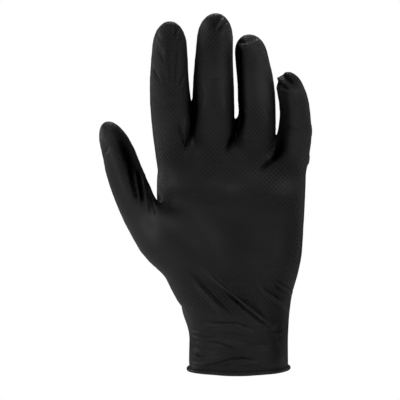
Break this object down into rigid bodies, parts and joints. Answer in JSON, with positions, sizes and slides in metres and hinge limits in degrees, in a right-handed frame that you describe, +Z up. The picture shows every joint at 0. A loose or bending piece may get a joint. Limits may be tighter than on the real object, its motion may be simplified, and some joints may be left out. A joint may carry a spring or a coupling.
{
  "type": "disposable work glove",
  "caption": "Thin stretch-film work glove in its worn form, palm forward, with an embossed grip, wrist folds and a rolled bead at the open cuff.",
  "frame": {"origin": "middle of the cuff's open mouth, level with the lowest point of the rolled bead", "axes": "+Z up along the hand towards the fingertips, -Y the way the palm side faces, -X the thumb's side; +Y is the back of the hand"},
  "size_m": [0.1332, 0.0606, 0.2279],
  "materials": {
    "nitrile": "matt black film with an embossed diamond grip on fingers and palm"
  },
  "bodies": {
    "root": {"glove": "nitrile"}
  },
  "joints": []
}
